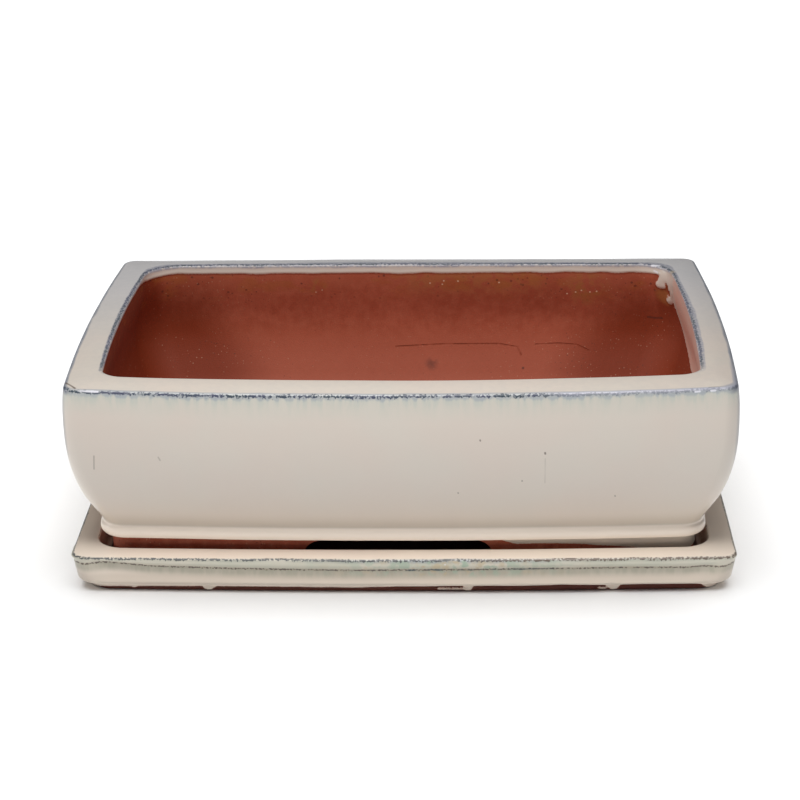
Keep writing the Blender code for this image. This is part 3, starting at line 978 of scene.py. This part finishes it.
def clay(graph, top):
    """Bare red clay, stained above the given height, with painted shade in the pot's cavity: (colour,
    roughness, relief), and its mottling.
    """
    add, times, ramp, cloud = graph.add, graph.times, graph.ramp, graph.cloud
    aside, z = graph.aside, graph.z
    mottle = cloud(5, 22, 3)
    grain = cloud(0.55, 23)
    wipe = cloud(2.2, 29, 2, (1, 1, 7))
    high = ramp(z, top, top + 12)
    stain = times(ramp(cloud(10, 24, 3, (1.6, 1, 0.8)), 0.52, 0.68), high, 0.35)
    outwards = add(aside, ramp(z, 80, 40, 0, 22))
    inner = ramp(z, 30, 36)
    walls = ramp(aside, 126, 134, 0, 0.85)
    low = graph.most(ramp(z, 94, 60, 0.15, 0.95), walls)
    # Painted shade in the cavity: darker low down and under the lip
    shade = add(ramp(z, 70, 54, 0, 0.85), ramp(z, 84, 95, 0, 0.7))
    crumbs, pits = graph.dots(1.5, 0.38, 0.42, 25)
    pocks, _ = graph.dots(2.6, 0.8, 0.4, 27)
    gathered = times(ramp(cloud(24, 26), 0.32, 0.56), ramp(outwards, 55, 90, 0.3, 1))
    colour = graph.paint(
        graph.mix(ramp(cloud(38, 21), 0.3, 0.7), CLAY_DARK_AND_SHADE, CLAY),
        (CLAY_LIGHT, ramp(mottle, 0.35, 0.75, 0, 0.45)),
        (CLAY_DARK_AND_SHADE, ramp(mottle, 0.46, 0.28, 0, 0.45)),
        (CLAY_DARK_AND_SHADE, ramp(grain, 0.3, 0.7, 0, 0.35)),
        (CLAY_DARK_AND_SHADE, ramp(wipe, 0.62, 0.36, 0, 0.25)),
        # Painted shade low in the cavity and under the lip
        (CLAY_DARK_AND_SHADE, inner, shade),
        # Painted shade towards the cavity's ends and deep down
        (CLAY_SHADE_AND_TOOL_LINES, ramp(outwards, 88, 126), inner, low),
        (CLAY_AMBER, stain),
        (CLAY_PIT, pits, gathered, 0.75),
        (CLAY_PIT, pocks, high, 0.7),
        (CLAY_CRUMB, crumbs, gathered, 0.45),
    )
    rough = ramp(stain, 0, 0.35, 0.72, 0.5)
    return (colour, rough, add(times(grain, 0.12), times(wipe, 0.10))), mottle


def cream(graph):
    """The cream glaze's own colour with its faint clouds, and the clouds."""
    clouds = graph.cloud(34, 52)
    return graph.mix(graph.ramp(clouds, 0.3, 0.7), CREAM, CREAM_PINK), clouds


def lay_glaze(graph, glazed, glaze, bare):
    """Finishes a material: glaze (colour, roughness) over bare clay (colour, roughness, relief)."""
    add, times, ramp, cloud = graph.add, graph.times, graph.ramp, graph.cloud
    inside = add(glazed, ramp(cloud(0.9, 61), 0.2, 0.8, -0.22, 0.22))
    covered = ramp(inside, -0.02, 0.16)
    colour = graph.mix(times(graph.near(inside, 0.12, 0.4), 0.5), glaze[0], CLAY_LIGHT)
    ripples = add(times(cloud(15, 42, 1, (1, 1, 1.6)), 0.22), times(cloud(1.3, 43, 1), 0.010))
    bump = graph.node("Bump")
    bump.inputs["Distance"].default_value = MM
    graph.feed(bump.inputs["Height"], graph.blend(ramp(glazed, 0, 0.2), bare[2], ripples))
    looks = (
        ("Base Color", graph.mix(covered, bare[0], colour)),
        ("Roughness", graph.blend(covered, bare[1], glaze[1])),
        ("Normal", bump.outputs["Normal"]),
    )
    for name, value in looks:
        graph.feed(graph.shader.inputs[name], value)
    return graph.material


def pot_cream(graph, outside, inside):
    """The pot's glaze, breaking to blue and slate on the lip's edges, with painted light on the foot band,
    painted shade in the crease over it and a painted grey reflection on the lip's back; and its clouds.
    """
    ramp, times, cloud, near = graph.ramp, graph.times, graph.cloud, graph.near
    aside, x, y, z = graph.aside, graph.x, graph.y, graph.z
    colour, clouds = cream(graph)
    wander = ramp(cloud(18, 1), 0.2, 0.8, -0.45, 0.45)
    outer, inner = graph.add(outside, wander), graph.add(inside, wander)
    grain = cloud(1.0, 2, 3)
    cluster = cloud(20, 3)
    strength = ramp(cluster, 0.3, 0.7, 0.6, 1)
    down = ramp(cloud(2.6, 4, 2, (1, 1, 5)), 0.25, 0.75)
    hue = graph.mix(ramp(cluster, 0.4, 0.6), SPECK_TEAL, SPECK_BLUE)
    on_wall = ramp(outside, -0.8, 0.4)
    top = times(graph.invert(on_wall), ramp(inside, 0.6, -0.6))
    below_halo = graph.math("SUBTRACT", outside, ramp(down, 0, 1, 3.2, 6.5))
    below_blue = graph.math("SUBTRACT", outer, ramp(down, 0, 1, 2.2, 3.7))
    right = times(ramp(x, 52, 84), ramp(y, -85, -95))
    right_edge = times(ramp(x, 142, 146), ramp(outer, -3.2, -1.8), ramp(y, -58, -84), 0.7)
    across = ramp(y, -88, -66)
    widened = graph.add(
        inner, ramp(x, -126, -134, 0, -0.9), ramp(x, 127, 134, 0, 0.5), ramp(y, 74, 82, 0, 1.8)
    )
    broken = ramp(cloud(1.5, 6, 3), 0.36, 0.56, 0.4, 1)
    colour = graph.paint(
        colour,
        (CREAM_WARM, ramp(z, 58, 30, 0, 0.55)),
        # Painted shade in the crease over the foot band
        (PAINTED_SHADE_CREAM, ramp(z, 38, 30, 0, 0.5), ramp(z, 27.5, 29.5), on_wall),
        # Painted reflection: the lip's top turns grey towards the back
        (PAINTED_REFLECTION_GREY, top, ramp(y, -70, 80, 0, 0.75)),
        (EDGE_BLUE, top, ramp(down, 0, 1, 0, 0.08)),
        (LILAC, right_edge, ramp(outside, 4, 1)),
        (UNDER_RIM, ramp(outside, 14, 3), on_wall, ramp(down, 0, 1, 0.5, 0.9)),
        (HALO, ramp(below_halo, 1.5, -3.0), on_wall, strength, 0.52),
        (EDGE_BLUE, ramp(below_blue, 0.5, -1.0), ramp(outer, -1.7, -0.7), strength, 0.85),
        # Painted light on the foot band's glaze
        (PAINTED_LIGHT_CREAM, ramp(z, 22.5, 23.6), ramp(z, 30.2, 28.8), on_wall, 0.95),
        (LILAC_PALE, near(outer, 0.2, 1.7), right, 0.8),
        (LILAC, ramp(widened, -3.3, -2.3), ramp(inner, 2.1, 0.9), across, broken, 0.9),
        (SLATE, ramp(aside, 146, 150), near(outer, 1.2, 3.4), 0.95),
        (SLATE, ramp(aside, 149.5, 151.5), near(y, -95.5, 6), ramp(z, 44, 80), 0.75),
        (hue, graph.specks(outer, 0.9, 2.3, 0.37, grain), ramp(right, 0, 1, 1, 0.45)),
        (hue, graph.specks(inner, -0.8, 2.6, 0.38, grain), across, 0.85),
    )
    return colour, clouds


def pot_material():
    graph = Graph("cream_glaze_and_clay")
    ramp, times, spot, stroke = graph.ramp, graph.times, graph.spot, graph.stroke
    outside, inside, glazed = graph.attribute("edges")
    thin, _, _ = graph.attribute("marks")
    colour, clouds = pot_cream(graph, outside, inside)
    colour = graph.paint(
        colour,
        # The thin glaze wash on the right inner wall, made lighter partly as painted light
        (THIN_GLAZE_WITH_PAINTED_LIGHT, thin, ramp(graph.cloud(1.6, 5, 3, (1, 6, 1)), 0.3, 0.7, 0.55, 1)),
        (AMBER_TINT, spot((136.7, 72.0, 101.0), 3.2, 0.8), 0.4),
        *((SCRATCH, stroke(*line), share) for *line, share in SCRATCHES),
        # Painted highlights on the glaze's edges
        *((GLINT, stroke(*line), share) for *line, share in GLINTS),
    )
    rough = ramp(clouds, 0.3, 0.7, 0.285, 0.35)

    (bare_colour, bare_rough, bare_height), mottle = clay(graph, 76)
    traces = [graph.trace([back_wall(*place) for place in line], 0.6) for line in TOOL_LINES]
    lines = times(graph.most(*traces), ramp(mottle, 0.35, 0.6, 0.4, 1))
    patches = times(ramp(graph.z, 78, 92, 0, 0.65), ramp(graph.x, -6, 6), ramp(graph.x, 84, 60))
    patches = graph.most(patches, spot(back_wall(94, 87), 15, 0.8), spot(back_wall(-48, 88), 7, 0.8))
    bare_colour = graph.paint(
        bare_colour,
        (CLAY_AMBER, patches, ramp(mottle, 0.36, 0.60), 0.85),
        (CLAY_AMBER, spot((135.0, 84.0, 84.5), 7.5, 0.6), 0.85),
        # Painted shade low on the back wall's right
        (CLAY_SHADE_AND_TOOL_LINES, spot(back_wall(110, 50), 20, 0.9), 0.45),
        (CLAY_PIT, spot(back_wall(12, 44), 5, 0.9), ramp(mottle, 0.4, 0.6), 0.6),
        (CLAY_PIT, spot(back_wall(61, 42), 1), 0.8),
        (CLAY_SHADE_AND_TOOL_LINES, lines, 0.45),
        (CLAY_PIT, graph.trace(CRACK, 0.9), 0.7),
        *((WARM_GLINT, spot(back_wall(*place), 0.6), 0.8) for place in CLAY_GLINTS),
    )
    bare_height = graph.add(bare_height, times(lines, -0.35))
    return lay_glaze(graph, glazed, (colour, rough), (bare_colour, bare_rough, bare_height))


def saucer_material():
    graph = Graph("cream_glaze_and_plinth_clay")
    ramp, times, cloud, near = graph.ramp, graph.times, graph.cloud, graph.near
    outside, inside, glazed = graph.attribute("edges")
    _, below_groove, flecks = graph.attribute("marks")
    colour, clouds = cream(graph)
    outer = graph.add(outside, ramp(cloud(18, 1), 0.2, 0.8, -0.4, 0.4))
    grain = cloud(1.0, 2, 3)
    strength = ramp(cloud(26, 3), 0.3, 0.7, 0.5, 1)
    hue = graph.mix(ramp(graph.x, 20, 60), SPECK_GREY, SCRATCH)
    down = ramp(cloud(2.6, 4, 2, (1, 1, 4)), 0.25, 0.75)
    patch = cloud(5, 7, 3)
    hollow = times(ramp(below_groove, -0.9, 0.2), ramp(below_groove, 6.0, 2.2))
    tints = times(flecks, ramp(outside, 0, 1.5), ramp(outside, 11, 7))
    dark_dots, pale_dots = graph.dots(3.4, 0.5, 0.22, 10)
    basin = ramp(inside, 10.5, 13)
    colour = graph.paint(
        colour,
        # Painted light: the saucer's cream made lighter all over
        (PAINTED_LIGHT_SAUCER_CREAM, 0.68),
        (OLIVE_GREY, hollow, ramp(down, 0, 1, 0.75, 1), 0.85),
        (GREEN_TINT, ramp(outside, 0.4, 1.6), ramp(below_groove, 1.5, 0), strength, 0.5),
        # Painted shade on the saucer's lower side
        (PAINTED_SHADE_CREAM, ramp(graph.z, 10.5, 8, 0, 0.3)),
        # Painted light on the saucer's lowest glaze, where it rounds under
        (PAINTED_LIGHT_CREAM, ramp(graph.z, 5.4, 3.4, 0, 0.8)),
        (EDGE_GREY, near(outer, 0.7, 1.9), strength, 0.95),
        (EDGE_BLUE, near(outer, 0.8, 2.1), flecks, 0.85),
        (GREEN_TINT, tints, ramp(patch, 0.48, 0.60)),
        (AMBER_TINT, tints, ramp(patch, 0.46, 0.34), 0.7),
        # Painted shade along the saucer's groove
        (PAINTED_SHADE_CREAM, near(below_groove, 0.0, 1.3), strength, 0.9),
        (hue, graph.specks(outer, 0.5, 2.0, 0.38, grain)),
        (SCRATCH, graph.specks(below_groove, 0.0, 1.2, 0.34, grain)),
        (SPECK_BLUE, graph.specks(inside, -0.2, 0.8, 0.24, grain)),
        (TEAL, flecks, near(below_groove, 0.1, 0.9), ramp(cloud(4, 9, 2, (2.2, 1, 1)), 0.45, 0.6)),
        (SPECK_TEAL, dark_dots, tints, 0.9),
        (GLINT, pale_dots, tints, 0.6),
        # Painted shade: the basin under the pot turned near-black
        (NEAR_BLACK_CLAY_AND_SHADE, basin, 0.95),
    )
    rough = graph.add(ramp(clouds, 0.3, 0.7, 0.29, 0.36), times(basin, 0.4))
    # The plinth's bare clay, darkened towards near-black: partly its own colour, partly painted shade
    (red, *bare), _ = clay(graph, FAR)
    return lay_glaze(graph, glazed, (colour, rough), (graph.mix(0.85, red, NEAR_BLACK_CLAY_AND_SHADE), *bare))


def make_camera():
    """The photograph's view, through a long lens."""
    azimuth, elevation, roll = (math.radians(v) for v in CAMERA_ANGLES)
    back = Vector((
        math.sin(azimuth) * math.cos(elevation),
        -math.cos(azimuth) * math.cos(elevation),
        math.sin(elevation),
    ))
    right = Vector((0, 0, 1)).cross(back).normalized()
    up = back.cross(right)
    across = math.cos(roll) * right + math.sin(roll) * up
    upright = math.cos(roll) * up - math.sin(roll) * right
    matrix = Matrix((across, upright, back)).transposed().to_4x4()
    matrix.translation = Vector(CAMERA_TARGET) + back * CAMERA_DISTANCE
    data = bpy.data.cameras.new("camera")
    data.sensor_width = 36
    data.lens = FOCAL_PIXELS * data.sensor_width / IMAGE_PIXELS
    camera = add_object("camera", data)
    camera.matrix_world = matrix
    bpy.context.scene.camera = camera


def add_light(name, kind, place, target, power, pieces):
    """A light that is turned to a target and falls on the given pieces alone."""
    data = bpy.data.lights.new(name, kind)
    data.energy = power
    light = add_object(name, data)
    light.location = place
    light.rotation_euler = (Vector(target) - Vector(place)).to_track_quat("-Z", "Y").to_euler()
    lit = bpy.data.collections.new(name + "_falls_on")
    for piece in pieces:
        lit.objects.link(piece)
    light.light_linking.receiver_collection = lit
    return data


def make_floor():
    """A wide pale floor."""
    mesh = bpy.data.meshes.new("floor")
    corners = [(FLOOR_HALF * x, FLOOR_HALF * y, 0) for x, y in ((-1, -1), (1, -1), (1, 1), (-1, 1))]
    mesh.from_pydata(corners, [], [(0, 1, 2, 3)])
    material = bpy.data.materials.new("pale_floor")
    material.use_nodes = True
    shader = material.node_tree.nodes["Principled BSDF"]
    shader.inputs["Base Color"].default_value = (0.86, 0.86, 0.86, 1)
    shader.inputs["Roughness"].default_value = 0.9
    mesh.materials.append(material)
    floor = add_object("floor", mesh)
    floor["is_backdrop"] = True
    return floor


def make_stage(pot, saucer):
    """Soft boxes that light the pieces alone, and an even light on the floor alone."""
    world = bpy.data.worlds.new("studio")
    bpy.context.scene.world = world
    world.use_nodes = True
    background = world.node_tree.nodes["Background"]
    background.inputs["Color"].default_value = (0.93, 0.96, 1.0, 1)
    background.inputs["Strength"].default_value = 0.16
    boxes = (
        ("key", (-0.03, -0.25, 0.56), (0, -0.05, 0.08), 2.9, (0.42, 0.28), (pot, saucer)),
        ("saucer_fill", (0.1, -0.45, 0.75), (0, -0.1, 0), 2.0, (0.5, 0.25), (saucer,)),
        ("side", (-1.4, -0.02, 0.37), (0.13, 0, 0.09), 4.7, (0.3, 0.2), (pot,)),
    )
    for name, place, target, power, size, pieces in boxes:
        box = add_light(name, "AREA", place, target, power, pieces)
        box.color = WARM_WHITE
        box.shape = "RECTANGLE"
        box.size, box.size_y = size
    sun = add_light("floor_light", "SUN", (0, 0, 2), (0, 0, 0), 3.9, (make_floor(),))
    sun.angle = math.radians(70)
    bpy.context.scene.view_settings.view_transform = "Standard"


make_camera()
pot = make_pot()
pot.data.materials.append(pot_material())
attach(pot, "pot_body")
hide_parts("pot")

saucer = make_saucer()
saucer.data.materials.append(saucer_material())
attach(saucer, "saucer_body")
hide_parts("saucer")
make_stage(pot, saucer)

[[list(corner) for corner in box] for box in (CAD_BOX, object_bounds())]
